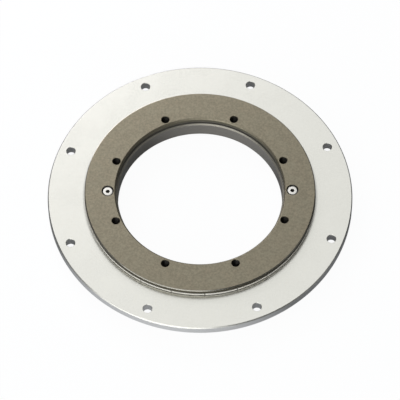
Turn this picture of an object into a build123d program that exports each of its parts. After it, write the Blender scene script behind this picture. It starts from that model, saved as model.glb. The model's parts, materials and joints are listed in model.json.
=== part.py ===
from build123d import *
import math
import os

# Low slewing ring. An inner ring, made of a base and a top plate screwed together,
# turns inside a flat outer ring. Moulded sliding elements clip over the bore edge of
# the outer ring and run in the groove between the base and the top plate.
# Millimetres. +Z is the turning axis, and the base stands on z = 0.

# Inner ring, base and top plate
bore_diameter = 100.0
base_rim_thickness = 3.0
top_plate_thickness = 3.0
clamp_rim_width = 9.0
clamp_rim_chamfer = 0.5
base_bore_bottom_chamfer = 0.8
base_bore_top_chamfer = 0.8
# Step round the bore in the base's top face, under the top plate
rebate_width = 2.0
rebate_depth = 1.5
# The top plate's bore is this much wider than the base's, on each side
plate_bore_step = 1.1
plate_bore_chamfer = 0.8
plate_bore_foot_chamfer = 0.3

# Fixing holes of the inner ring, tapped for 5 mm screws through plate and base
inner_hole_count = 8
inner_hole_diameter = 5.0
# Walls from the rebate to the tapped holes, and from the holes to the hub's outside
inner_hole_inside_wall = 0.5
inner_hole_outside_wall = 3.5

# Outer ring
outer_ring_thickness = 6.0
outer_ring_chamfer = 0.6
# Part of the outer ring that stands clear of the clamp rims, on each side
outer_ring_open_width = 22.5
# Turn of the outer ring's holes against the inner ring's as it rests, degrees
outer_ring_turn = 0.7

# Fixing holes of the outer ring, plain holes for 5 mm screws
outer_hole_count = 8
outer_hole_diameter = 5.5
outer_hole_chamfer = 0.2
outer_hole_edge_wall = 4.75

# Sliding elements, each a moulded channel that clips over the outer ring's bore edge
element_count = 22
element_leg_thickness = 1.95
element_web_thickness = 1.9
element_overhang = 0.2
element_end_gap = 0.4
element_edge_chamfer = 0.25
# Chamfer at the foot of each leg, where it lies on the outer ring
element_foot_chamfer = 0.5
# Angle of the joint between the last element and the first, from +X, degrees
element_joint_angle = -88.0
# Key on each element's web, which sits in a notch in the outer ring's bore
key_width = 6.0
key_depth = 1.4

# Countersunk socket screws that hold the top plate to the base
screw_count = 2
screw_diameter = 3.0
screw_head_diameter = 5.6
screw_head_rim = 0.2
screw_head_recess = 0.7
screw_socket_flats = 2.0
screw_socket_depth = 1.1
screw_hole_floor = 4.33
screw_hole_end_gap = 1.0
countersink_bore_wall = 0.35
drill_point_angle = 118.0

# Clearances
running_clearance_radial = 0.1
running_clearance_axial = 0.05
element_seat_clearance = 0.1
screw_hole_clearance = 0.2
screw_thread_clearance = 0.05
screw_head_clearance = 0.03

# Cutters reach this far past the faces that they cut
past = 1.0

# Heights
element_bottom = base_rim_thickness + running_clearance_axial
outer_ring_bottom = element_bottom + element_leg_thickness
outer_ring_top = outer_ring_bottom + outer_ring_thickness
element_top = outer_ring_top + element_leg_thickness
plate_bottom = element_top + running_clearance_axial
plate_top = plate_bottom + top_plate_thickness
screw_top = plate_top - screw_head_recess + screw_head_clearance
screw_tip = screw_hole_floor + screw_hole_end_gap

# Radii of the inner ring, from the bore outwards
bore_radius = bore_diameter / 2
plate_bore_radius = bore_radius + plate_bore_step
rebate_radius = bore_radius + rebate_width
inner_hole_radius = inner_hole_diameter / 2
inner_hole_circle_radius = rebate_radius + inner_hole_inside_wall + inner_hole_radius
hub_radius = inner_hole_circle_radius + inner_hole_radius + inner_hole_outside_wall
clamp_rim_radius = hub_radius + clamp_rim_width

# Radii of the sliding elements and the outer ring
web_inner_radius = hub_radius + running_clearance_radial
web_outer_radius = web_inner_radius + element_web_thickness
element_radius = clamp_rim_radius + element_overhang
outer_ring_bore_radius = web_outer_radius + element_seat_clearance
outer_ring_radius = clamp_rim_radius + outer_ring_open_width
outer_hole_radius = outer_hole_diameter / 2
outer_hole_circle_radius = outer_ring_radius - outer_hole_edge_wall - outer_hole_radius
key_tip = web_outer_radius + key_depth
notch_floor = key_tip + element_seat_clearance

# Radii of the screws, and the circle that they stand on
screw_radius = screw_diameter / 2
screw_head_radius = screw_head_diameter / 2
countersink_radius = screw_head_radius + screw_head_rim + screw_head_recess
plate_bore_edge = plate_bore_radius + plate_bore_chamfer
screw_circle_radius = plate_bore_edge + countersink_bore_wall + countersink_radius

# Angles of the sliding elements
element_pitch = 360.0 / element_count
element_arc = element_pitch - math.degrees(element_end_gap / element_radius)
element_start = element_joint_angle + (element_pitch - element_arc) / 2


def turned(points, arc=360.0):
    """Solid turned about Z from an outline of radius and height points."""
    outline = Polyline(*[(radius, 0, height) for radius, height in points], close=True)
    return revolve(make_face(outline), Axis.Z, arc)


def hole_cutter(radius, bottom, top, chamfer):
    """Round cutter that opens at 45 degrees where it leaves both faces."""
    mouth = radius + chamfer + past
    return turned([
        (0, bottom - past),
        (mouth, bottom - past),
        (radius, bottom + chamfer),
        (radius, top - chamfer),
        (mouth, top + past),
        (0, top + past),
    ])


def radial_block(inside, outside, width, bottom, top):
    """Block on the +X side, between two distances from the axis."""
    block = Box(outside - inside, width, top - bottom)
    return Pos((inside + outside) / 2, 0, (bottom + top) / 2) * block


def round_the_axis(shape, circle_radius, count, first_angle):
    """Copies of a shape on a circle, the first at the given angle from +X."""
    step = 360.0 / count
    outward = Pos(circle_radius, 0, 0)
    return [Rot(0, 0, first_angle + step * index) * outward * shape for index in range(count)]


def inner_hole_cutters():
    """Cutters for the tapped holes, straight through both parts of the inner ring."""
    height = plate_top + 2 * past
    cutter = Pos(0, 0, plate_top / 2) * Cylinder(inner_hole_radius, height)
    half_step = 180.0 / inner_hole_count
    return round_the_axis(cutter, inner_hole_circle_radius, inner_hole_count, half_step)


def screw_thread_cutter():
    """Blind tapped hole under a screw, ending in a drill point."""
    radius = screw_radius + screw_thread_clearance
    point = radius / math.tan(math.radians(drill_point_angle / 2))
    return turned([
        (0, screw_hole_floor - point),
        (radius, screw_hole_floor),
        (radius, plate_bottom + past),
        (0, plate_bottom + past),
    ])


def countersink_cutter():
    """Clearance hole and 90 degree countersink for a screw."""
    radius = screw_radius + screw_hole_clearance
    return turned([
        (0, plate_bottom - past),
        (radius, plate_bottom - past),
        (radius, plate_top - (countersink_radius - radius)),
        (countersink_radius + past, plate_top + past),
        (0, plate_top + past),
    ])


def make_inner_ring_base():
    """Base with its hub: the bore, the lower running face and the tapped holes."""
    edge = clamp_rim_chamfer
    rebate_floor = plate_bottom - rebate_depth
    body = turned([
        (bore_radius + base_bore_bottom_chamfer, 0),
        (clamp_rim_radius - edge, 0),
        (clamp_rim_radius, edge),
        (clamp_rim_radius, base_rim_thickness - edge),
        (clamp_rim_radius - edge, base_rim_thickness),
        (hub_radius, base_rim_thickness),
        (hub_radius, plate_bottom),
        (rebate_radius, plate_bottom),
        (rebate_radius, rebate_floor),
        (bore_radius + base_bore_top_chamfer, rebate_floor),
        (bore_radius, rebate_floor - base_bore_top_chamfer),
        (bore_radius, base_bore_bottom_chamfer),
    ])
    body -= inner_hole_cutters()
    body -= round_the_axis(screw_thread_cutter(), screw_circle_radius, screw_count, 0)
    return body


def make_inner_ring_top_plate():
    """Flat ring that closes the groove from above."""
    edge = clamp_rim_chamfer
    foot = plate_bore_foot_chamfer
    body = turned([
        (plate_bore_radius + foot, plate_bottom),
        (clamp_rim_radius - edge, plate_bottom),
        (clamp_rim_radius, plate_bottom + edge),
        (clamp_rim_radius, plate_top - edge),
        (clamp_rim_radius - edge, plate_top),
        (plate_bore_edge, plate_top),
        (plate_bore_radius, plate_top - plate_bore_chamfer),
        (plate_bore_radius, plate_bottom + foot),
    ])
    body -= inner_hole_cutters()
    body -= round_the_axis(countersink_cutter(), screw_circle_radius, screw_count, 0)
    return body


def make_outer_ring():
    """Flat outer ring: its bore edge carries the sliding elements."""
    edge = outer_ring_chamfer
    body = turned([
        (outer_ring_bore_radius, outer_ring_bottom),
        (outer_ring_radius - edge, outer_ring_bottom),
        (outer_ring_radius, outer_ring_bottom + edge),
        (outer_ring_radius, outer_ring_top - edge),
        (outer_ring_radius - edge, outer_ring_top),
        (outer_ring_bore_radius, outer_ring_top),
    ])
    fixing = hole_cutter(outer_hole_radius, outer_ring_bottom, outer_ring_top, outer_hole_chamfer)
    first_fixing = 180.0 / outer_hole_count + outer_ring_turn
    body -= round_the_axis(fixing, outer_hole_circle_radius, outer_hole_count, first_fixing)
    notch = radial_block(
        outer_ring_bore_radius - past,
        notch_floor,
        key_width + 2 * element_seat_clearance,
        outer_ring_bottom - past,
        outer_ring_top + past,
    )
    body -= round_the_axis(notch, 0, element_count, element_start + element_arc / 2)
    return body


def make_sliding_element():
    """One moulded element, starting at +X: a channel with a key on its web."""
    edge = element_edge_chamfer
    foot = element_foot_chamfer
    channel = turned([
        (web_inner_radius, element_bottom),
        (element_radius - edge, element_bottom),
        (element_radius, element_bottom + edge),
        (element_radius, outer_ring_bottom - foot),
        (element_radius - foot, outer_ring_bottom),
        (web_outer_radius, outer_ring_bottom),
        (web_outer_radius, outer_ring_top),
        (element_radius - foot, outer_ring_top),
        (element_radius, outer_ring_top + foot),
        (element_radius, element_top - edge),
        (element_radius - edge, element_top),
        (web_inner_radius, element_top),
    ], element_arc)
    web_middle = (web_inner_radius + web_outer_radius) / 2
    key = radial_block(web_middle, key_tip, key_width, outer_ring_bottom, outer_ring_top)
    return channel + Rot(0, 0, element_arc / 2) * key


def make_clamp_screw():
    """Countersunk socket screw with its axis on Z, its top at its real height."""
    cone_top = screw_top - screw_head_rim
    cone_bottom = cone_top - (screw_head_radius - screw_radius)
    body = turned([
        (0, screw_tip),
        (screw_radius, screw_tip),
        (screw_radius, cone_bottom),
        (screw_head_radius, cone_top),
        (screw_head_radius, screw_top),
        (0, screw_top),
    ])
    socket = RegularPolygon(screw_socket_flats / 2, 6, major_radius=False)
    socket_floor = Pos(0, 0, screw_top - screw_socket_depth)
    return body - socket_floor * extrude(socket, screw_socket_depth + past)


def save(shape, node):
    """Write one piece as a STEP file under its own name."""
    shape.label = node
    export_step(shape, os.path.join("parts", node + ".step"))


def main():
    """Build every piece in its own place and write it."""
    os.makedirs("parts", exist_ok=True)
    save(make_inner_ring_base(), "inner_ring_base")
    save(make_inner_ring_top_plate(), "inner_ring_top_plate")
    save(make_outer_ring(), "outer_ring")
    element = make_sliding_element()
    for index in range(element_count):
        placed = Rot(0, 0, element_start + element_pitch * index) * element
        save(placed, f"sliding_element_{index + 1:02d}")
    screws = round_the_axis(make_clamp_screw(), screw_circle_radius, screw_count, 0)
    for index, screw in enumerate(screws):
        save(screw, f"clamp_screw_{index + 1}")


main()
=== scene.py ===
import json
import math

import bmesh
import bpy
from bpy.props import FloatProperty, FloatVectorProperty, IntProperty, PointerProperty
from bpy.types import Operator, Panel, PropertyGroup
from mathutils import Matrix, Vector


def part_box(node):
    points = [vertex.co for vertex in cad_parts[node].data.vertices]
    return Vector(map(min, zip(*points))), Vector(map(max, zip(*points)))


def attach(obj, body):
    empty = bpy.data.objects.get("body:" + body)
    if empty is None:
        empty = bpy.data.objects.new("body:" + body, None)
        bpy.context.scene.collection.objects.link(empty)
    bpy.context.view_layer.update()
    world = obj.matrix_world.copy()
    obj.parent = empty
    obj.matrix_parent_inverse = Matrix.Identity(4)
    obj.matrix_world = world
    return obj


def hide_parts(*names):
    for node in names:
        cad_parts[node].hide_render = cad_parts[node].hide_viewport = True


# A low slewing ring: a satin flat outer ring turns on moulded sliding elements between
# the base and the top plate of a hard anodised inner ring. Metres, +Z is the axis.

bl_info = {
    "name": "Slewing ring",
    "version": (1, 0, 0),
    "blender": (4, 5, 0),
    "location": "3D View > Sidebar > Slewing ring",
    "description": "Models and finishes the turned rings, sliding elements, threads and screws",
    "category": "Add Mesh",
}

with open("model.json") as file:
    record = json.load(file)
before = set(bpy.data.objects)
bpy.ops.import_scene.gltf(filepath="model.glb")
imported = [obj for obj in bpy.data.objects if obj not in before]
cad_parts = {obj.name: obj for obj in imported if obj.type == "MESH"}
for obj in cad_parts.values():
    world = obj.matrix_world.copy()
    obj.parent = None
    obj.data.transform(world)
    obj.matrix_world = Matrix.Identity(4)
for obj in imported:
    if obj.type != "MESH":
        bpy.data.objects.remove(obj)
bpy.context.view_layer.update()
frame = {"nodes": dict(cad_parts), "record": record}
mounts = {entry["name"]: entry["dims"] for entry in frame["record"]["mounts"]}
element_nodes = sorted(name for name in frame["nodes"] if name.startswith("sliding_element"))
screw_nodes = sorted(name for name in frame["nodes"] if name.startswith("clamp_screw"))
MM = 0.001

# Facets of a full turn, and of one element's arc.
RING_SEGMENTS = 360
SCREW_SEGMENTS = 72
HOLE_SEGMENTS = 64
BLIND_HOLE_SEGMENTS = 48
ELEMENT_SEGMENTS = 16

# How far a cutter reaches past the face that it leaves.
PAST = 1 * MM
# Edges whose faces turn by more than this are shaded sharp.
SMOOTH_LIMIT = math.radians(28)
# Places of the two colours and of their mixture among a Mix node's sockets.
COLOUR_A, COLOUR_B, COLOUR_RESULT = 6, 7, 2


def box_top(node):
    """Height of a node's top face."""
    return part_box(node)[1].z


def box_span(node):
    """Heights of a node's bottom and top faces."""
    low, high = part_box(node)
    return low.z, high.z


def box_radius(*nodes):
    """Largest reach of nodes from the axis, along X."""
    return max(max(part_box(node)[1].x, -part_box(node)[0].x) for node in nodes)


def length(name, description, default):
    """Property that holds a length in metres."""
    return FloatProperty(
        name=name, description=description, default=default, unit="LENGTH", precision=5
    )


def angle(name, description, degrees):
    """Property that holds an angle."""
    return FloatProperty(
        name=name, description=description, default=math.radians(degrees), subtype="ANGLE"
    )


def colour(name, description, default):
    """Property that holds a colour."""
    return FloatVectorProperty(
        name=name, description=description, default=default, subtype="COLOR", size=3, min=0, max=1
    )


def number(name, description, default):
    """Property that holds a plain number."""
    return FloatProperty(name=name, description=description, default=default)


class InnerRingSizes(PropertyGroup):
    """Sizes of the base and the top plate."""

    bore_radius: length("Bore", "Radius of the base's bore", mounts["centre_bore"]["r_mm"] * MM)
    plate_bore_radius: length(
        "Plate bore", "Radius of the top plate's bore", mounts["top_plate_bore"]["r_mm"] * MM
    )
    rim_radius: length("Rims", "Radius of both rims", box_radius("inner_ring_top_plate"))
    hub_radius: length("Hub", "Radius of the hub that the elements run round", 61 * MM)
    base_rim_thickness: length("Base rim", "Thickness of the base's rim", 3 * MM)
    rebate_width: length("Rebate width", "Width of the step round the bore's top", 2 * MM)
    rebate_depth: length("Rebate depth", "Depth of the step round the bore's top", 1.5 * MM)
    rim_chamfer: length("Rim chamfer", "Chamfer of both rims", 0.5 * MM)
    bore_bottom_chamfer: length("Bore foot", "Chamfer at the foot of the bore", 0.8 * MM)
    bore_top_chamfer: length("Bore top", "Chamfer between bore and rebate", 0.8 * MM)
    plate_bore_chamfer: length("Plate bore edge", "Upper chamfer of the plate's bore", 0.8 * MM)
    plate_foot_chamfer: length("Plate bore foot", "Lower chamfer of the plate's bore", 0.3 * MM)
    hole_circle_radius: length(
        "Hole circle", "Circle of the tapped holes", mounts["inner_bolt_circle"]["pcd_mm"] / 2 * MM
    )
    hole_radius: length(
        "Tapped hole", "Radius of a tapped hole", mounts["inner_bolt_circle"]["hole_r_mm"] * MM
    )
    hole_count: IntProperty(
        name="Tapped holes", description="Number of tapped holes",
        default=mounts["inner_bolt_circle"]["count"],
    )
    hole_chamfer: length("Hole edge", "Chamfer at the mouth of a tapped hole", 0.18 * MM)
    thread_pitch: length("Thread pitch", "Rise of the tapped thread in one turn", 0.8 * MM)
    softness: length("Softness", "Rounding of the turned edges", 0.1 * MM)


class OuterRingSizes(PropertyGroup):
    """Sizes of the outer ring."""

    radius: length("Radius", "Radius of the outside", box_radius("outer_ring"))
    bore_radius: length("Bore", "Radius of the bore that the elements clip over", 63.1 * MM)
    chamfer: length("Chamfer", "Chamfer of the outer edges", 0.6 * MM)
    hole_circle_radius: length(
        "Hole circle", "Circle of the fixing holes", mounts["outer_bolt_circle"]["pcd_mm"] / 2 * MM
    )
    hole_radius: length(
        "Fixing hole", "Radius of a fixing hole", mounts["outer_bolt_circle"]["hole_r_mm"] * MM
    )
    hole_count: IntProperty(
        name="Fixing holes", description="Number of fixing holes",
        default=mounts["outer_bolt_circle"]["count"],
    )
    hole_chamfer: length("Hole edge", "Chamfer of the fixing holes", 0.2 * MM)
    turn: angle("Turn", "Turn of the fixing holes against the tapped holes", 0.7)
    softness: length("Softness", "Rounding of the turned edges", 0.06 * MM)


class ElementSizes(PropertyGroup):
    """Sizes of the moulded sliding elements."""

    count: IntProperty(
        name="Elements", description="Number of elements", default=len(element_nodes)
    )
    radius: length("Reach", "Radius that the legs reach", box_radius(*element_nodes))
    web_radius: length("Web", "Radius of the web's running face", 61.1 * MM)
    web_thickness: length("Web thickness", "Thickness of the web", 1.9 * MM)
    leg_thickness: length("Leg thickness", "Thickness of each leg", 1.95 * MM)
    end_gap: length("End gap", "Gap between the ends of two elements", 0.4 * MM)
    edge_chamfer: length("Edge", "Chamfer of the legs' outer edges", 0.25 * MM)
    foot_chamfer: length("Foot", "Chamfer where a leg lies on the outer ring", 0.5 * MM)
    softness: length("Softness", "Rounding of the moulded edges", 0.12 * MM)
    key_width: length("Key width", "Width of the key on the web", 6 * MM)
    key_depth: length("Key depth", "How far the key stands out of the web", 1.4 * MM)
    seat: length("Seat", "Clearance between an element and the outer ring", 0.1 * MM)
    first_joint: angle("First joint", "Angle of the first joint, from +X", -88)


class ScrewSizes(PropertyGroup):
    """Sizes of the countersunk clamp screws."""

    circle_radius: length("Screw circle", "Circle that the screws stand on", 55.95 * MM)
    head_radius: length("Head", "Radius of the head", 2.8 * MM)
    head_rim: length("Rim", "Height of the head's upright rim", 0.2 * MM)
    shank_radius: length("Shank", "Radius of the threaded shank", 1.5 * MM)
    socket_flats: length("Socket", "Width of the hexagon socket across its flats", 2 * MM)
    socket_depth: length("Socket depth", "Depth of the hexagon socket", 1.1 * MM)
    recess: length("Recess", "How deep the head lies in its countersink", 0.7 * MM)
    hole_clearance: length("Hole clearance", "Clearance round the shank", 0.2 * MM)
    thread_clearance: length("Thread clearance", "Clearance in the tapped hole", 0.05 * MM)
    hole_floor: length("Hole floor", "Height at which the blind hole ends", 4.33 * MM)
    drill_point: angle("Drill point", "Angle of the blind hole's point", 118)
    end_chamfer: length("Shank end", "Chamfer at the shank's end", 0.4 * MM)
    socket_chamfer: length("Socket edge", "Chamfer at the mouth of the socket", 0.2 * MM)
    softness: length("Softness", "Rounding of the turned edges", 0.15 * MM)


class Finishes(PropertyGroup):
    """Colours of the finishes, and of painted shade and highlights."""

    satin: colour("Clear anodised", "Outer ring", (0.86, 0.86, 0.80))
    plate: colour("Hard anodised plate", "Top plate", (0.353, 0.322, 0.236))
    plate_green: colour(
        "Greener patches", "Soft patches in the plate's finish", (0.346, 0.321, 0.236)
    )
    plate_brown: colour(
        "Browner patches", "Soft patches in the plate's finish", (0.373, 0.330, 0.240)
    )
    # Lighter tone that paints a highlight on the plate's rim chamfer.
    rim_edge_highlight: colour("Rim edge", "Chamfer of the plate's rim", (0.40, 0.385, 0.34))
    base: colour("Hard anodised base", "Base", (0.27, 0.26, 0.235))
    bore: colour("Turned bore", "Wall of the bore", (0.262, 0.242, 0.222))
    # Lighter tone that paints a highlight on the chamfer round the bore's top.
    bore_edge: colour("Bore edge", "Chamfer round the bore's top", (0.42, 0.40, 0.34))
    polymer: colour("Polymer", "Sliding elements", (0.95, 0.93, 0.86))
    steel: colour("Bright steel", "Clamp screws", (0.87, 0.86, 0.81))
    # Near black: painted shade, used for the tapped threads, the screws' seats and their sockets.
    thread: colour("Thread", "Tapped threads", (0.05, 0.048, 0.042))


class Studio(PropertyGroup):
    """Camera and light."""

    elevation: angle("Elevation", "Height of the camera above the horizon", 59.09)
    distance: length("Distance", "Camera to the ring", 1.884)
    lens: number("Lens", "Focal length in millimetres", 278.8)
    roll: angle("Roll", "Turn of the picture", 0.294)
    aim: FloatVectorProperty(
        name="Aim", description="Point that the camera looks at",
        default=(-0.05 * MM, -1.18 * MM, 6.54 * MM), subtype="TRANSLATION", size=3, precision=5,
    )
    high_power: number("High light", "Power of the high soft light in watts", 2.7)
    front_power: number("Front light", "Power of the front soft light in watts", 2.8)
    low_power: number("Low light", "Power of the low soft light in watts", 3.6)
    world_strength: number("World", "Strength of the room's light", 1.22)
    world_dark: number("World dark", "Level of the room near the horizon and to the right", 0.02)
    world_low_front: number("World low in front", "Level of the room low in front", 0.25)
    floor_white: number("Floor white", "How much of the seen floor is plain white", 0.92)
    floor_mirrored: number("Floor in metal", "How much of the mirrored floor is plain light", 0.85)
    # Levels of the floor as metal mirrors it: a painted pool of light and a painted shadow.
    floor_dim: number("Dim floor", "Level of the mirrored floor on its dim side", 0.14)
    floor_painted_light: number("Floor gleam", "Rise of the mirrored floor on the lit side", 1.4)
    floor_bearing: angle("Lit side", "Where the lit floor is brightest, from the front", -16)


class RingSettings(PropertyGroup):
    """Everything that a user may change."""

    inner: PointerProperty(type=InnerRingSizes)
    outer: PointerProperty(type=OuterRingSizes)
    elements: PointerProperty(type=ElementSizes)
    screws: PointerProperty(type=ScrewSizes)
    finishes: PointerProperty(type=Finishes)
    studio: PointerProperty(type=Studio)


def settings():
    """The ring's settings."""
    return bpy.context.scene.slewing_ring


class Socket:
    """An output of a node. Arithmetic on it adds Math nodes to its tree."""

    def __init__(self, tree, output):
        self.tree = tree
        self.output = output

    def __add__(self, other):
        return self.tree.math("ADD", self, other)

    def __radd__(self, other):
        return self.tree.math("ADD", other, self)

    def __sub__(self, other):
        return self.tree.math("SUBTRACT", self, other)

    def __rsub__(self, other):
        return self.tree.math("SUBTRACT", other, self)

    def __mul__(self, other):
        return self.tree.math("MULTIPLY", self, other)

    def __rmul__(self, other):
        return self.tree.math("MULTIPLY", other, self)

    def __truediv__(self, other):
        return self.tree.math("DIVIDE", self, other)

    def __rtruediv__(self, other):
        return self.tree.math("DIVIDE", other, self)

    def __pow__(self, other):
        return self.tree.math("POWER", self, other)

    def __lt__(self, other):
        return self.tree.math("LESS_THAN", self, other)

    def __gt__(self, other):
        return self.tree.math("GREATER_THAN", self, other)


class Tree:
    """Adds nodes to a shader or geometry tree."""

    def __init__(self, tree):
        self.tree = tree

    def node(self, kind, choices=(), sockets=()):
        """New node: its choices are set first, then its sockets are linked or set."""
        made = self.tree.nodes.new(kind)
        for name, value in dict(choices).items():
            setattr(made, name, value)
        for key, value in dict(sockets).items():
            if isinstance(value, Socket):
                self.tree.links.new(value.output, made.inputs[key])
            else:
                made.inputs[key].default_value = value
        return made

    def take(self, kind, choices=(), sockets=(), output=0):
        """One output of a new node."""
        return Socket(self, self.node(kind, choices, sockets).outputs[output])

    def math(self, operation, *values):
        """Result of a Math node."""
        return self.take("ShaderNodeMath", {"operation": operation}, dict(enumerate(values)))

    def remap(self, value, low, high, to_low, to_high):
        """A value moved smoothly from one range to another, and held at its ends."""
        sockets = {"Value": value, "From Min": low, "From Max": high}
        sockets.update({"To Min": to_low, "To Max": to_high})
        return self.take("ShaderNodeMapRange", {"interpolation_type": "SMOOTHSTEP"}, sockets)

    def contrast(self, noise, low=0.35, high=0.65):
        """A noise stretched from its usual range to the range from 0 to 1."""
        return self.remap(noise, low, high, 0, 1)

    def mix(self, factor, first, second):
        """Two colours mixed by a factor."""
        mixed = {"Factor": factor, COLOUR_A: rgba(first), COLOUR_B: rgba(second)}
        return self.take("ShaderNodeMix", {"data_type": "RGBA"}, mixed, output=COLOUR_RESULT)

    def noise(self, vector, scale, detail, roughness):
        """Soft noise with a mean of about a half."""
        sockets = {"Vector": vector, "Scale": scale, "Detail": detail, "Roughness": roughness}
        return self.take("ShaderNodeTexNoise", {}, sockets)


def rgba(value):
    """A colour with its alpha, or a link as it is."""
    return value if isinstance(value, Socket) else (*value, 1)


def scaled(tone, ratio):
    """A colour with each channel multiplied by a ratio."""
    return [channel * ratio for channel in tone]


def swing(noise, amount):
    """How far a noise is from its mean of a half, times an amount."""
    return (noise - 0.5) * amount


class Surface(Tree):
    """A material's tree, with the places that its patterns read."""

    def __init__(self, name):
        material = bpy.data.materials.new(name)
        material.use_nodes = True
        super().__init__(material.node_tree)
        self.material = material
        self.tree.nodes.clear()
        self.place = self.take("ShaderNodeTexCoord", output="Object")
        apart = self.node("ShaderNodeSeparateXYZ", {}, {"Vector": self.place})
        self.x, self.y, self.height = (Socket(self, output) for output in apart.outputs)
        self.radius = (self.x * self.x + self.y * self.y) ** 0.5

    def from_screw(self):
        """Distance from the nearer clamp screw's axis."""
        offset = self.math("ABSOLUTE", self.x) - settings().screws.circle_radius
        return (offset * offset + self.y * self.y) ** 0.5

    def turned_marks(self, spacing):
        """Fine rings left by a lathe tool on faces and walls, the spacing in metres."""
        across = self.radius / spacing + self.height / spacing
        return self.take(
            "ShaderNodeTexNoise",
            {"noise_dimensions": "1D"},
            {"W": across, "Scale": 1.0, "Detail": 3.0, "Roughness": 0.65},
        )

    def bump(self, height, distance, strength):
        """Normal of a surface with the given relief in metres."""
        relief = {"Height": height, "Distance": distance, "Strength": strength}
        return self.take("ShaderNodeBump", {}, relief)

    def finish(self, **sockets):
        """Ends the tree in one shader; the socket names are written with underscores."""
        named = {name.replace("_", " "): value for name, value in sockets.items()}
        shader = self.take("ShaderNodeBsdfPrincipled", {}, named)
        self.node("ShaderNodeOutputMaterial", {}, {"Surface": shader})
        return self.material


def satin_anodised():
    """Satin of the outer ring: faint cloud and turned marks, and a painted shade beside the
    elements.
    """
    made = Surface("clear anodised satin")
    cloud = made.noise(made.place, 60, 3, 0.55)
    grain = made.noise(made.place, 5200, 2, 0.6)
    marks = made.turned_marks(0.35 * MM)
    tone = settings().finishes.satin
    clean = made.mix(made.contrast(cloud), scaled(tone, 0.975), tone)
    foot = settings().elements.radius
    # Painted shade: the ring's top is darkened just outside the elements' foot, most next to them.
    full_shade, no_shade, most = foot + 0.4 * MM, foot + 1.6 * MM, 0.6
    shade = made.remap(made.radius, full_shade, no_shade, most, 0)
    relief = grain * 0.7 + marks * 0.3
    return made.finish(
        Base_Color=made.mix(shade, clean, scaled(tone, 0.6)),
        Metallic=0.94,
        Roughness=0.28 + swing(grain, 0.10) + swing(cloud, 0.05),
        Normal=made.bump(relief, 0.004 * MM, 0.5),
    )


def seat_radius():
    """Radius of a clamp screw's countersink at the plate's top face."""
    screws = settings().screws
    return screws.head_radius + screws.head_rim + screws.recess


def anodised_plate():
    """Matt grey-brown of the plate: soft patches, specks, painted shade on the walls and in the
    screw seats, and a painted highlight on the rim edge.
    """
    made = Surface("hard anodised plate")
    tones = settings().finishes
    tone = tones.plate
    patches = made.noise(made.place, 170, 4, 0.6)
    drift = made.noise(made.place, 45, 2, 0.5)
    grain = made.noise(made.place, 3800, 3, 0.65)
    marks = made.turned_marks(0.3 * MM)
    specks = made.noise(made.place, 850, 3, 0.6)
    speck_tone = scaled(tone, 0.72)
    tint = made.mix(made.contrast(patches), tones.plate_green, tones.plate_brown)
    tinted = made.mix(made.remap(drift, 0.35, 0.65, 0.35, 0.85), tone, tint)
    mottled = made.mix(made.contrast(specks, 0.26, 0.74), tinted, speck_tone)
    grained = made.mix(swing(grain, 0.5) + 0.10, mottled, speck_tone)
    # Painted shade: the countersink seats round the screws get the near black of the threads.
    in_seat = made.from_screw() < seat_radius()
    inner = settings().inner
    in_bore = made.radius < inner.plate_bore_radius + 0.05 * MM
    on_wall = made.radius > inner.rim_radius - 0.02 * MM
    # Painted shade: the wall of the plate's bore is darkened to half of its tone.
    painted_shade = made.mix(in_bore, grained, scaled(tone, 0.5))
    # Painted shade: the rim's outer wall is darkened to 0.42 of its tone.
    with_painted_wall_shade = made.mix(on_wall, painted_shade, scaled(tone, 0.42))
    top = box_top("inner_ring_top_plate")
    near_edge = (made.height > top - inner.rim_chamfer) * (made.height < top - 0.04 * MM)
    painted_highlight_edge = near_edge * (made.radius > inner.rim_radius - inner.rim_chamfer * 1.1)
    # Painted highlight: the rim chamfer gets a lighter colour, and it is also smoother.
    with_painted_highlight = made.mix(painted_highlight_edge, with_painted_wall_shade, tones.rim_edge_highlight)
    return made.finish(
        Base_Color=made.mix(in_seat, with_painted_highlight, tones.thread),
        Metallic=0.9,
        Roughness=0.44 + swing(grain, 0.16) + swing(patches, 0.12) - painted_highlight_edge * 0.26,
        Normal=made.bump(grain * 0.6 + marks * 0.4, 0.006 * MM, 0.6),
    )


def turned_base():
    """Hard anodised base: turned marks on the bore's wall and a painted highlight on the chamfer
    above it.
    """
    sizes = settings().inner
    tones = settings().finishes
    made = Surface("hard anodised base")
    marks = made.turned_marks(0.45 * MM)
    grain = made.noise(made.place, 3800, 3, 0.65)
    cloud = made.noise(made.place, 90, 3, 0.6)
    in_bore = made.radius < sizes.bore_radius + sizes.bore_bottom_chamfer / 2
    streaks = made.contrast(marks, 0.3, 0.7)
    wall = made.mix(streaks, scaled(tones.bore, 0.80), scaled(tones.bore, 1.12))
    edge_foot = box_top("inner_ring_base") - sizes.rebate_depth - sizes.bore_top_chamfer
    edge_reach = sizes.bore_radius + sizes.bore_top_chamfer
    # Painted highlight: the chamfer round the bore's top gets a lighter colour.
    painted_highlight_edge = (made.radius < edge_reach) * (made.height > edge_foot)
    rest = made.mix(made.contrast(cloud), scaled(tones.base, 0.93), tones.base)
    return made.finish(
        Base_Color=made.mix(painted_highlight_edge, made.mix(in_bore, rest, wall), tones.bore_edge),
        Metallic=0.6,
        Roughness=0.36 + swing(marks, 0.16) + swing(grain, 0.10),
        Normal=made.bump(grain * 0.4 + marks * 0.6, 0.008 * MM, 0.7),
    )


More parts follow.
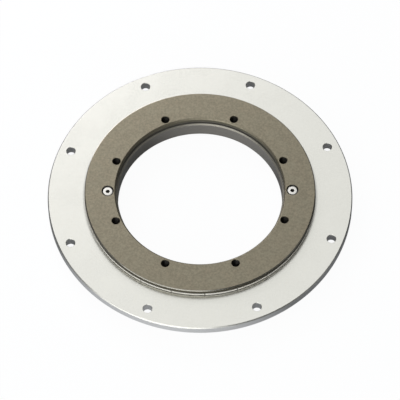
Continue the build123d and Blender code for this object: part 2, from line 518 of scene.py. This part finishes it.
def moulded_polymer():
    """Cream polymer: faint flow cloud, fine skin, and painted shade at the foot, crown and joints.
    """
    made = Surface("cream sliding polymer")
    cloud = made.noise(made.place, 220, 3, 0.55)
    skin = made.noise(made.place, 2600, 2, 0.5)
    own_shade = made.take("ShaderNodeAttribute", {"attribute_name": "shade"}, output="Fac")
    tone = settings().finishes.polymer
    warmer = (0.93, 0.92, 0.88)
    deeper = [channel * ratio for channel, ratio in zip(tone, warmer)]
    clean = made.mix(made.contrast(cloud * 0.6 + own_shade * 0.4, 0.25, 0.75), deeper, tone)
    # Painted shade: darker at the foot on the outer ring, at the crown under the plate and at the
    # joints.
    foot_shade, crown_shade, joint_shade = 0.92, 0.85, 0.2
    ring_top = box_top("outer_ring")
    foot = made.remap(made.height, ring_top + 0.45 * MM, ring_top + 0.8 * MM, foot_shade, 0)
    top = box_top(element_nodes[0])
    crown = made.remap(made.height, top - 0.22 * MM, top - 0.1 * MM, 0, crown_shade)
    sizes = settings().elements
    bearing = made.math("ARCTAN2", made.y, made.x) - sizes.first_joint
    pitch = math.tau / sizes.count
    from_joint = made.math("PINGPONG", bearing, pitch / 2) * sizes.radius
    joint = made.remap(from_joint, 0.3 * MM, 0.55 * MM, joint_shade, 0)
    painted_shade = made.math("MAXIMUM", foot + crown, joint)
    return made.finish(
        Base_Color=made.mix(painted_shade, clean, scaled(tone, 0.12)),
        Roughness=0.42 + swing(skin, 0.12),
        Normal=made.bump(skin, 0.01 * MM, 0.5),
    )


def bright_steel():
    """Bright screw steel with fine facing marks on the heads and a socket painted dark as shade.
    """
    made = Surface("bright screw steel")
    across = made.from_screw()
    socket_reach = settings().screws.socket_flats * 0.6
    below_face = box_top(screw_nodes[0]) - 0.06 * MM
    # Painted shade: the socket's walls get the near black of the threads.
    socket_painted_shade = (across < socket_reach) * (made.height < below_face)
    mark_spacing = 0.09 * MM
    rings = made.take(
        "ShaderNodeTexNoise",
        {"noise_dimensions": "1D"},
        {"W": across / mark_spacing, "Scale": 1.0, "Detail": 2.0},
    )
    tones = settings().finishes
    return made.finish(
        Base_Color=made.mix(socket_painted_shade, tones.steel, tones.thread),
        Metallic=1.0,
        Roughness=0.34 + swing(rings, 0.10),
        Normal=made.bump(rings, 0.001 * MM, 0.4),
    )


def thread_in_painted_shade():
    """Tapped threads painted near black as the shade deep in their holes, slightly oily."""
    made = Surface("tapped thread")
    grain = made.noise(made.place, 4000, 2, 0.6)
    tone = settings().finishes.thread
    return made.finish(
        Base_Color=made.mix(grain, scaled(tone, 0.7), tone),
        Metallic=0.7,
        Roughness=0.34 + swing(grain, 0.1),
    )


def softened(outline, rounding, steps=3):
    """A closed outline whose corners are small curves."""
    rounded = []
    for index, corner in enumerate(outline):
        corner = Vector(corner)
        back = Vector(outline[index - 1]) - corner
        ahead = Vector(outline[(index + 1) % len(outline)]) - corner
        reach = min(rounding, back.length * 0.45, ahead.length * 0.45)
        if corner.x == 0:
            rounded.append(tuple(corner))
            continue
        start = corner + back.normalized() * reach
        end = corner + ahead.normalized() * reach
        for step in range(steps + 1):
            t = step / steps
            point = start * (1 - t) ** 2 + corner * 2 * t * (1 - t) + end * t**2
            rounded.append(tuple(point))
    return rounded


def turned(name, outline, segments, arc=math.tau, centre=0.0):
    """Object turned about an upright axis at X = centre, from a closed outline."""
    shape = bmesh.new()
    whole = arc >= math.tau
    stations = segments if whole else segments + 1
    rings = []
    for index in range(stations):
        turn = arc * index / segments
        ring = []
        for radius, height in outline:
            place = (centre + radius * math.cos(turn), radius * math.sin(turn), height)
            ring.append(shape.verts.new(place))
        rings.append(ring)
    for index in range(segments):
        here, there = rings[index], rings[(index + 1) % stations]
        for corner in range(len(outline)):
            following = (corner + 1) % len(outline)
            if outline[corner][0] == 0 and outline[following][0] == 0:
                continue
            shape.faces.new((here[corner], there[corner], there[following], here[following]))
    if not whole:
        shape.faces.new(rings[0])
        shape.faces.new(rings[-1])
    bmesh.ops.remove_doubles(shape, verts=shape.verts, dist=1e-8)
    bmesh.ops.recalc_face_normals(shape, faces=shape.faces)
    return as_object(name, shape)


def add_block(shape, low, high):
    """Adds a block between two corners to a bmesh."""
    middle = (Vector(low) + Vector(high)) / 2
    size = Vector(high) - Vector(low)
    bmesh.ops.create_cube(
        shape, size=1, matrix=Matrix.Translation(middle) @ Matrix.Diagonal((*size, 1))
    )


def as_object(name, shape):
    """Object that holds a finished bmesh."""
    mesh = bpy.data.meshes.new(name)
    shape.to_mesh(mesh)
    shape.free()
    made = bpy.data.objects.new(name, mesh)
    bpy.context.scene.collection.objects.link(made)
    return made


def hole_cutter(name, sizes, bottom, top):
    """Round cutter for a ring's holes, opening at 45 degrees where it leaves both faces."""
    radius, chamfer = sizes.hole_radius, sizes.hole_chamfer
    mouth = radius + chamfer + PAST
    outline = [
        (0, bottom - PAST),
        (mouth, bottom - PAST),
        (radius, bottom + chamfer),
        (radius, top - chamfer),
        (mouth, top + PAST),
        (0, top + PAST),
    ]
    return turned(name, outline, HOLE_SEGMENTS, centre=sizes.hole_circle_radius)


def new_tree(name, *inputs):
    """Geometry tree with a geometry and named inputs, and its tree and input sockets."""
    group = bpy.data.node_groups.new(name, "GeometryNodeTree")
    group.interface.new_socket(name="Geometry", in_out="OUTPUT", socket_type="NodeSocketGeometry")
    for entry_name, kind, default in (("Geometry", "NodeSocketGeometry", None), *inputs):
        entry = group.interface.new_socket(name=entry_name, in_out="INPUT", socket_type=kind)
        if default is not None:
            entry.default_value = default
    tree = Tree(group)
    given = tree.node("NodeGroupInput")
    return group, tree, [Socket(tree, given.outputs[n]) for n in range(len(inputs) + 1)]


def end_tree(tree, shape, finish):
    """Ends a geometry tree in real geometry with its material."""
    whole = tree.take("GeometryNodeRealizeInstances", {}, {"Geometry": shape})
    made = tree.take("GeometryNodeSetMaterial", {}, {"Geometry": whole, "Material": finish})
    tree.node("NodeGroupOutput", {}, {"Geometry": made})


def round_the_axis(tree, shape, count, first_angle):
    """Copies of a shape about +Z, the first turned by the given angle."""
    points = tree.take("GeometryNodePoints", {}, {"Count": count})
    index = tree.take("GeometryNodeInputIndex")
    turn = first_angle + index * (math.tau / count)
    euler = tree.take("ShaderNodeCombineXYZ", {}, {"Z": turn})
    rotation = tree.take("FunctionNodeEulerToRotation", {}, {"Euler": euler})
    return tree.take(
        "GeometryNodeInstanceOnPoints",
        {},
        {"Points": points, "Instance": shape, "Rotation": rotation},
    )


def smooth_round_faces(tree, shape):
    """Smooth shading, with an edge kept sharp where its faces turn past the limit."""
    smooth = tree.take("GeometryNodeSetShadeSmooth", {}, {"Geometry": shape, "Shade Smooth": True})
    bend = tree.take("GeometryNodeInputMeshEdgeAngle")
    return tree.take(
        "GeometryNodeSetShadeSmooth",
        {"domain": "EDGE"},
        {"Geometry": smooth, "Selection": bend > SMOOTH_LIMIT, "Shade Smooth": False},
    )


def machining_tree():
    """Tree that cuts copies of a cutter round the axis out of a turned ring."""
    group, tree, (ring, cutter, count, first, finish) = new_tree(
        "cut round the axis",
        ("Cutter", "NodeSocketObject", None),
        ("Count", "NodeSocketInt", 8),
        ("First angle", "NodeSocketFloat", 0.0),
        ("Finish", "NodeSocketMaterial", None),
    )
    shape = tree.take("GeometryNodeObjectInfo", {}, {"Object": cutter}, output="Geometry")
    copies = round_the_axis(tree, shape, count, first)
    cutters = tree.take("GeometryNodeRealizeInstances", {}, {"Geometry": copies})
    cut = tree.take(
        "GeometryNodeMeshBoolean",
        {"operation": "DIFFERENCE", "solver": "EXACT"},
        {"Mesh 1": ring, "Mesh 2": cutters},
    )
    end_tree(tree, smooth_round_faces(tree, cut), finish)
    return group


def repeating_tree():
    """Tree that repeats a piece round the axis, each copy with its own shade."""
    group, tree, (piece, count, first, seed, finish) = new_tree(
        "repeat round the axis",
        ("Count", "NodeSocketInt", 8),
        ("First angle", "NodeSocketFloat", 0.0),
        ("Seed", "NodeSocketInt", 4),
        ("Finish", "NodeSocketMaterial", None),
    )
    copies = round_the_axis(tree, smooth_round_faces(tree, piece), count, first)
    index = tree.take("GeometryNodeInputIndex")
    shade = tree.take(
        "FunctionNodeRandomValue", {"data_type": "FLOAT"}, {"ID": index, "Seed": seed}, output=1
    )
    varied = tree.take(
        "GeometryNodeStoreNamedAttribute",
        {"domain": "INSTANCE"},
        {"Geometry": copies, "Name": "shade", "Value": shade},
    )
    end_tree(tree, varied, finish)
    return group


def shared_tree(name, make):
    """A tree of this name, made on its first use."""
    return bpy.data.node_groups.get(name) or make()


def add_tree(piece, group, **values):
    """Adds a geometry tree to a piece and sets its named inputs."""
    modifier = piece.modifiers.new(group.name, "NODES")
    modifier.node_group = group
    identifiers = {
        item.name: item.identifier for item in group.interface.items_tree if item.in_out == "INPUT"
    }
    for name, value in values.items():
        modifier[identifiers[name.replace("_", " ").capitalize()]] = value


def cut_round(piece, cutter, count, first_angle, finish):
    """Adds the machining tree to a ring."""
    tree = shared_tree("cut round the axis", machining_tree)
    add_tree(piece, tree, cutter=cutter, count=count, first_angle=first_angle, finish=finish)
    cutter.hide_render = True
    cutter.hide_viewport = True


def repeat_round(piece, count, first_angle, finish):
    """Adds the repeating tree to a piece."""
    tree = shared_tree("repeat round the axis", repeating_tree)
    add_tree(piece, tree, count=count, first_angle=first_angle, finish=finish)


def finished(piece, body, nodes=(), cutters=()):
    """Turns a piece's modifiers into a plain mesh and seats it on its body."""
    bpy.context.view_layer.update()
    graph = bpy.context.evaluated_depsgraph_get()
    mesh = bpy.data.meshes.new_from_object(
        piece.evaluated_get(graph), preserve_all_data_layers=True, depsgraph=graph
    )
    piece.modifiers.clear()
    piece.data = mesh
    for cutter in cutters:
        bpy.data.objects.remove(cutter)
    if nodes:
        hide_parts(*nodes)
    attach(piece, body)


def even_shading(piece):
    """Lets the large flat faces set the shading of their softened edges."""
    weighted = piece.modifiers.new("even shading", "WEIGHTED_NORMAL")
    weighted.keep_sharp = True
    weighted.weight = 80


class SLEWING_OT_outer_ring(Operator):
    """Flat outer ring with its fixing holes and the notches for the elements' keys"""

    bl_idname = "slewing.outer_ring"
    bl_label = "Outer ring"

    def execute(self, context):
        sizes = settings().outer
        elements = settings().elements
        low, high = box_span("outer_ring")
        edge = sizes.chamfer
        outline = [
            (sizes.bore_radius, low),
            (sizes.radius - edge, low),
            (sizes.radius, low + edge),
            (sizes.radius, high - edge),
            (sizes.radius - edge, high),
            (sizes.bore_radius, high),
        ]
        ring = turned("outer_ring_satin", softened(outline, sizes.softness), RING_SEGMENTS)
        finish = satin_anodised()
        hole = hole_cutter("fixing hole cutter", sizes, low, high)
        first = math.pi / sizes.hole_count + sizes.turn
        cut_round(ring, hole, sizes.hole_count, first, finish)
        width = elements.key_width / 2 + elements.seat
        floor = sizes.bore_radius + elements.key_depth
        shape = bmesh.new()
        inside = sizes.bore_radius - PAST
        add_block(shape, (inside, -width, low - PAST), (floor, width, high + PAST))
        notch = as_object("key notch cutter", shape)
        middle = elements.first_joint + math.pi / elements.count
        cut_round(ring, notch, elements.count, middle, finish)
        even_shading(ring)
        finished(ring, "turning_ring", ["outer_ring"], [hole, notch])
        return {"FINISHED"}


class SLEWING_OT_top_plate(Operator):
    """Top plate with its tapped holes and the countersinks of the clamp screws"""

    bl_idname = "slewing.top_plate"
    bl_label = "Top plate"

    def execute(self, context):
        sizes = settings().inner
        low, high = box_span("inner_ring_top_plate")
        edge, bore_edge = sizes.rim_chamfer, sizes.plate_bore_chamfer
        foot = sizes.plate_foot_chamfer
        outline = [
            (sizes.plate_bore_radius + foot, low),
            (sizes.rim_radius - edge, low),
            (sizes.rim_radius, low + edge),
            (sizes.rim_radius, high - edge),
            (sizes.rim_radius - edge, high),
            (sizes.plate_bore_radius + bore_edge, high),
            (sizes.plate_bore_radius, high - bore_edge),
            (sizes.plate_bore_radius, low + foot),
        ]
        rounded = softened(outline, sizes.softness)
        plate = turned("top_plate_hard_anodised", rounded, RING_SEGMENTS)
        finish = anodised_plate()
        hole = hole_cutter("tapped hole cutter", sizes, low, high)
        cut_round(plate, hole, sizes.hole_count, math.pi / sizes.hole_count, finish)
        seat = countersink_cutter(low, high)
        cut_round(plate, seat, len(screw_nodes), 0.0, finish)
        even_shading(plate)
        finished(
            plate, "inner_ring", ["inner_ring_top_plate"], [hole, seat]
        )
        return {"FINISHED"}


def countersink_cutter(low, high):
    """Clearance hole and 90 degree countersink for a clamp screw."""
    screws = settings().screws
    radius = screws.shank_radius + screws.hole_clearance
    mouth = seat_radius()
    outline = [
        (0, low - PAST),
        (radius, low - PAST),
        (radius, high - (mouth - radius)),
        (mouth + PAST, high + PAST),
        (0, high + PAST),
    ]
    return turned("countersink cutter", outline, HOLE_SEGMENTS, centre=screws.circle_radius)


class SLEWING_OT_base(Operator):
    """Base with its hub, rebate, rim and holes"""

    bl_idname = "slewing.base"
    bl_label = "Base"

    def execute(self, context):
        sizes = settings().inner
        top = box_top("inner_ring_base")
        edge = sizes.rim_chamfer
        rebate_radius = sizes.bore_radius + sizes.rebate_width
        rebate_floor = top - sizes.rebate_depth
        outline = [
            (sizes.bore_radius + sizes.bore_bottom_chamfer, 0),
            (sizes.rim_radius - edge, 0),
            (sizes.rim_radius, edge),
            (sizes.rim_radius, sizes.base_rim_thickness - edge),
            (sizes.rim_radius - edge, sizes.base_rim_thickness),
            (sizes.hub_radius, sizes.base_rim_thickness),
            (sizes.hub_radius, top),
            (rebate_radius, top),
            (rebate_radius, rebate_floor),
            (sizes.bore_radius + sizes.bore_top_chamfer, rebate_floor),
            (sizes.bore_radius, rebate_floor - sizes.bore_top_chamfer),
            (sizes.bore_radius, sizes.bore_bottom_chamfer),
        ]
        base = turned("base_hard_anodised", softened(outline, sizes.softness), RING_SEGMENTS)
        finish = turned_base()
        hole = hole_cutter("tapped hole cutter", sizes, 0, top)
        cut_round(base, hole, sizes.hole_count, math.pi / sizes.hole_count, finish)
        blind = blind_hole_cutter(top)
        cut_round(base, blind, len(screw_nodes), 0.0, finish)
        even_shading(base)
        finished(base, "inner_ring", ["inner_ring_base"], [hole, blind])
        return {"FINISHED"}


def blind_hole_cutter(top):
    """Blind hole under a clamp screw, ending in a drill point."""
    screws = settings().screws
    radius = screws.shank_radius + screws.thread_clearance
    point = radius / math.tan(screws.drill_point / 2)
    outline = [
        (0, screws.hole_floor - point),
        (radius, screws.hole_floor),
        (radius, top + PAST),
        (0, top + PAST),
    ]
    return turned("blind hole cutter", outline, BLIND_HOLE_SEGMENTS, centre=screws.circle_radius)


class SLEWING_OT_sliding_elements(Operator):
    """Row of moulded sliding elements, each a channel with a key on its web"""

    bl_idname = "slewing.sliding_elements"
    bl_label = "Sliding elements"

    def execute(self, context):
        sizes = settings().elements
        low, high = box_span(element_nodes[0])
        leg, edge, foot = sizes.leg_thickness, sizes.edge_chamfer, sizes.foot_chamfer
        web_outside = sizes.web_radius + sizes.web_thickness
        outline = [
            (sizes.web_radius, low),
            (sizes.radius - edge, low),
            (sizes.radius, low + edge),
            (sizes.radius, low + leg - foot),
            (sizes.radius - foot, low + leg),
            (web_outside, low + leg),
            (web_outside, high - leg),
            (sizes.radius - foot, high - leg),
            (sizes.radius, high - leg + foot),
            (sizes.radius, high - edge),
            (sizes.radius - edge, high),
            (sizes.web_radius, high),
        ]
        pitch = math.tau / sizes.count
        arc = pitch - sizes.end_gap / sizes.radius
        channel = turned("sliding_elements_moulded", outline, ELEMENT_SEGMENTS, arc)
        channel.data.transform(Matrix.Rotation(-arc / 2, 4, "Z"))
        add_key(channel, web_outside, low + leg, high - leg)
        soften = channel.modifiers.new("soft edges", "BEVEL")
        soften.width = sizes.softness
        soften.segments = 2
        soften.limit_method = "ANGLE"
        soften.angle_limit = math.radians(30)
        repeat_round(channel, sizes.count, sizes.first_joint + pitch / 2, moulded_polymer())
        finished(channel, "turning_ring", element_nodes)
        return {"FINISHED"}


def add_key(channel, web_outside, low, high):
    """Joins the key to the outside of an element's web."""
    sizes = settings().elements
    shape = bmesh.new()
    shape.from_mesh(channel.data)
    inside = web_outside - sizes.web_thickness / 2
    half = sizes.key_width / 2
    add_block(shape, (inside, -half, low), (web_outside + sizes.key_depth, half, high))
    shape.to_mesh(channel.data)
    shape.free()


class SLEWING_OT_tapped_threads(Operator):
    """Thread ridges in the tapped holes"""

    bl_idname = "slewing.tapped_threads"
    bl_label = "Tapped threads"

    def execute(self, context):
        sizes = settings().inner
        top = box_top("inner_ring_top_plate")
        ridge = thread_ridge(
            sizes.hole_circle_radius, sizes.hole_radius, sizes.thread_pitch, 0.0, top
        )
        repeat_round(ridge, sizes.hole_count, math.pi / sizes.hole_count, thread_in_painted_shade())
        finished(ridge, "inner_ring")
        return {"FINISHED"}


def thread_ridge(centre, wall, pitch, bottom, top):
    """One 60 degree ridge that climbs the wall of a hole as a helix."""
    steps_a_turn = 20
    sink = 0.02 * MM
    depth = 0.5 * pitch
    half_root = 0.46 * pitch
    half_crest = 0.1 * pitch
    section = [(wall + sink, -half_root), (wall - depth, -half_crest),
               (wall - depth, half_crest), (wall + sink, half_root)]
    start, end = bottom + pitch, top - pitch
    steps = round((end - start) / pitch * steps_a_turn)
    shape = bmesh.new()
    rows = []
    for step in range(steps + 1):
        turn = math.tau * step / steps_a_turn
        rise = start + (end - start) * step / steps
        row = []
        for radius, offset in section:
            place = (centre + radius * math.cos(turn), radius * math.sin(turn), rise + offset)
            row.append(shape.verts.new(place))
        rows.append(row)
    for here, there in zip(rows, rows[1:]):
        for corner in range(len(section)):
            following = (corner + 1) % len(section)
            shape.faces.new((here[corner], here[following], there[following], there[corner]))
    shape.faces.new(rows[0])
    shape.faces.new(rows[-1])
    bmesh.ops.recalc_face_normals(shape, faces=shape.faces)
    return as_object("tapped_threads", shape)


class SLEWING_OT_clamp_screws(Operator):
    """Two countersunk hexagon socket screws that hold the top plate"""

    bl_idname = "slewing.clamp_screws"
    bl_label = "Clamp screws"

    def execute(self, context):
        sizes = settings().screws
        low, high = box_span(screw_nodes[0])
        cone_bottom = high - sizes.head_rim - (sizes.head_radius - sizes.shank_radius)
        outline = [
            (0, low),
            (sizes.shank_radius - sizes.end_chamfer, low),
            (sizes.shank_radius, low + sizes.end_chamfer),
            (sizes.shank_radius, cone_bottom),
            (sizes.head_radius, high - sizes.head_rim),
            (sizes.head_radius, high),
            (0, high),
        ]
        rounded = softened(outline, sizes.softness, 4)
        screw = turned("clamp_screws_steel", rounded, SCREW_SEGMENTS, centre=sizes.circle_radius)
        socket = hexagon_cutter(sizes.circle_radius, high)
        finish = bright_steel()
        cut_round(screw, socket, 1, 0.0, finish)
        repeat_round(screw, len(screw_nodes), 0.0, finish)
        even_shading(screw)
        finished(screw, "inner_ring", screw_nodes, [socket])
        return {"FINISHED"}


def hexagon_cutter(centre, top):
    """Cutter for a screw's hexagon socket, with a chamfered mouth."""
    sizes = settings().screws
    corner = sizes.socket_flats / math.sqrt(3)
    mouth = sizes.socket_chamfer
    past = 0.5 * MM
    outline = [
        (0, top - sizes.socket_depth - corner / 2),
        (corner, top - sizes.socket_depth),
        (corner, top - mouth),
        (corner + mouth + past, top + past),
        (0, top + past),
    ]
    return turned("hexagon socket cutter", outline, 6, centre=centre)


class SLEWING_OT_stage(Operator):
    """Pale floor, soft studio light and the camera"""

    bl_idname = "slewing.stage"
    bl_label = "Stage"

    def execute(self, context):
        make_floor()
        make_world()
        make_lights()
        make_camera()
        bpy.context.scene.view_settings.view_transform = "Standard"
        return {"FINISHED"}


def make_floor():
    """Pale floor that looks white and keeps a faint shadow. For mirrored rays its level is painted
    by place: a painted pool of light on the lit side and a painted shadow under the ring.
    """
    studio = settings().studio
    shape = bmesh.new()
    bmesh.ops.create_grid(shape, x_segments=1, y_segments=1, size=4)
    floor = as_object("floor", shape)
    floor.location.z = -0.02 * MM
    material = bpy.data.materials.new("pale floor")
    material.use_nodes = True
    tree = Tree(material.node_tree)
    material.node_tree.nodes.clear()
    path = tree.node("ShaderNodeLightPath")
    camera = Socket(tree, path.outputs["Is Camera Ray"])
    glossy = Socket(tree, path.outputs["Is Glossy Ray"])
    clear = Socket(tree, path.outputs["Is Transmission Ray"])
    place = tree.take("ShaderNodeTexCoord", output="Object")
    apart = tree.node("ShaderNodeSeparateXYZ", {}, {"Vector": place})
    x, y = (Socket(tree, output) for output in apart.outputs[:2])
    radius = (x * x + y * y) ** 0.5
    # Painted light and shadow for mirrored rays: brighter toward the lit side, darker under the
    # ring.
    sine, cosine = math.sin(studio.floor_bearing), math.cos(studio.floor_bearing)
    toward_light = (x * sine - y * cosine) / radius
    in_bore = radius < settings().inner.bore_radius
    lit_from, painted_ring_shadow = 0.6, 0.6
    painted_light_side = tree.math("MAXIMUM", toward_light * (1 - 2 * in_bore) - lit_from, 0.0)
    under_ring = (radius < settings().outer.radius) * (1 - in_bore)
    painted_light_share = studio.floor_painted_light * (1 - painted_ring_shadow * under_ring)
    mirrored = painted_light_side * painted_light_share + studio.floor_dim
    seen = camera + clear
    plain_share = seen * studio.floor_white + glossy * studio.floor_mirrored
    white, cool, neutral = (1, 1, 1), (0.90, 0.91, 1.0), (0.93, 0.96, 0.94)
    white_level = 1.04
    lit = tree.take("ShaderNodeBsdfDiffuse", {}, {"Color": (0.72, 0.79, 0.85, 1)})
    plain = tree.take(
        "ShaderNodeEmission",
        {},
        {
            "Color": tree.mix(glossy, white, tree.mix(in_bore, cool, neutral)),
            "Strength": seen * white_level + glossy * mirrored,
        },
    )
    mixed = tree.take("ShaderNodeMixShader", {}, {0: plain_share, 1: lit, 2: plain})
    tree.node("ShaderNodeOutputMaterial", {}, {"Surface": mixed})
    floor.data.materials.append(material)


def make_world():
    """Room that is bright behind and above, dark to the right and faintly lit low in front."""
    studio = settings().studio
    world = bpy.data.worlds.new("studio room")
    bpy.context.scene.world = world
    world.use_nodes = True
    world.node_tree.nodes.clear()
    tree = Tree(world.node_tree)
    direction = tree.take("ShaderNodeTexCoord", output="Generated")
    apart = tree.node("ShaderNodeSeparateXYZ", {}, {"Vector": direction})
    x, y, z = (Socket(tree, output) for output in apart.outputs)
    behind = y * math.cos(studio.elevation) + z * math.sin(studio.elevation)
    back = tree.remap(behind, 0.7, 0.96, 0.3, 1.0)
    right = tree.remap(x, 0.08, 0.40, 1.0, 0.0)
    left = tree.remap(x, -0.6, -0.2, 0.15, 1.0)
    above = tree.remap(z, 0.1, 0.4, 0.0, 1.0)
    band = tree.remap(z, 0.02, 0.1, 0.0, 1.0) * tree.remap(z, 0.3, 0.42, 1.0, 0.0)
    front = tree.remap(y, -0.3, 0.3, studio.world_low_front, 0.0)
    bright = back * right * left * above
    level = bright * (1 - studio.world_dark) + studio.world_dark + band * front
    path = tree.node("ShaderNodeLightPath")
    camera = Socket(tree, path.outputs["Is Camera Ray"])
    strength = level * studio.world_strength
    room = tree.take("ShaderNodeBackground", {}, {"Strength": strength})
    white = tree.take("ShaderNodeBackground", {}, {"Color": (1, 1, 1, 1), "Strength": 1.0})
    mixed = tree.take("ShaderNodeMixShader", {}, {0: camera, 1: room, 2: white})
    tree.node("ShaderNodeOutputWorld", {}, {"Surface": mixed})


def add_softbox(name, place, size, power, tone=(1, 1, 1)):
    """Soft light of the given width and height that faces the ring."""
    light = bpy.data.lights.new(name, "AREA")
    light.color = tone
    light.shape = "RECTANGLE"
    light.size, light.size_y = size
    light.energy = power
    lamp = bpy.data.objects.new(name, light)
    bpy.context.scene.collection.objects.link(lamp)
    lamp.location = place
    lamp.rotation_euler = (-Vector(place)).to_track_quat("-Z", "Y").to_euler()
    lamp.visible_camera = False


def make_lights():
    """Soft lights above and behind to the left, in front to the left and low in front."""
    studio = settings().studio
    add_softbox(
        "high softbox", place=(-0.30, 0.62, 0.32), size=(0.5, 0.5),
        power=studio.high_power, tone=(1, 0.96, 1),
    )
    add_softbox(
        "front softbox", place=(-0.44, -0.765, 0.47), size=(1.2, 0.7), power=studio.front_power
    )
    add_softbox(
        "low softbox", place=(-0.26, -0.96, 0.12), size=(1.2, 0.22), power=studio.low_power
    )


def make_camera():
    """Long lens from the front and above."""
    studio = settings().studio
    data = bpy.data.cameras.new("camera")
    data.sensor_width = 36
    data.lens = studio.lens
    data.clip_start = 0.1
    data.clip_end = 20
    camera = bpy.data.objects.new("camera", data)
    bpy.context.scene.collection.objects.link(camera)
    back = Vector((0, -math.cos(studio.elevation), math.sin(studio.elevation)))
    right = Vector((1, 0, 0))
    up = back.cross(right)
    cosine, sine = math.cos(studio.roll), math.sin(studio.roll)
    turned_right = right * cosine - up * sine
    turned_up = right * sine + up * cosine
    facing = Matrix((turned_right, turned_up, back)).transposed().to_4x4()
    place = Vector(studio.aim) + back * studio.distance
    camera.matrix_world = Matrix.Translation(place) @ facing
    bpy.context.scene.camera = camera


STEPS = (
    SLEWING_OT_base,
    SLEWING_OT_top_plate,
    SLEWING_OT_outer_ring,
    SLEWING_OT_sliding_elements,
    SLEWING_OT_tapped_threads,
    SLEWING_OT_clamp_screws,
    SLEWING_OT_stage,
)
GROUPS = (
    InnerRingSizes, OuterRingSizes, ElementSizes, ScrewSizes, Finishes, Studio, RingSettings,
)


class SLEWING_PT_panel(Panel):
    """Lists the steps that make the ring"""

    bl_idname = "SLEWING_PT_panel"
    bl_label = "Slewing ring"
    bl_space_type = "VIEW_3D"
    bl_region_type = "UI"
    bl_category = "Slewing ring"

    def draw(self, context):
        for step in STEPS:
            self.layout.operator(step.bl_idname)


def register():
    """Registers the settings, the steps and the panel."""
    for entry in (*GROUPS, *STEPS, SLEWING_PT_panel):
        bpy.utils.register_class(entry)
    bpy.types.Scene.slewing_ring = PointerProperty(type=RingSettings)


def unregister():
    """Takes them away again."""
    del bpy.types.Scene.slewing_ring
    for entry in reversed((*GROUPS, *STEPS, SLEWING_PT_panel)):
        bpy.utils.unregister_class(entry)


def main():
    """Registers the settings, then makes every piece and the stage."""
    register()
    for step in STEPS:
        group, name = step.bl_idname.split(".")
        getattr(getattr(bpy.ops, group), name)()


if __name__ == "__main__":
    main()
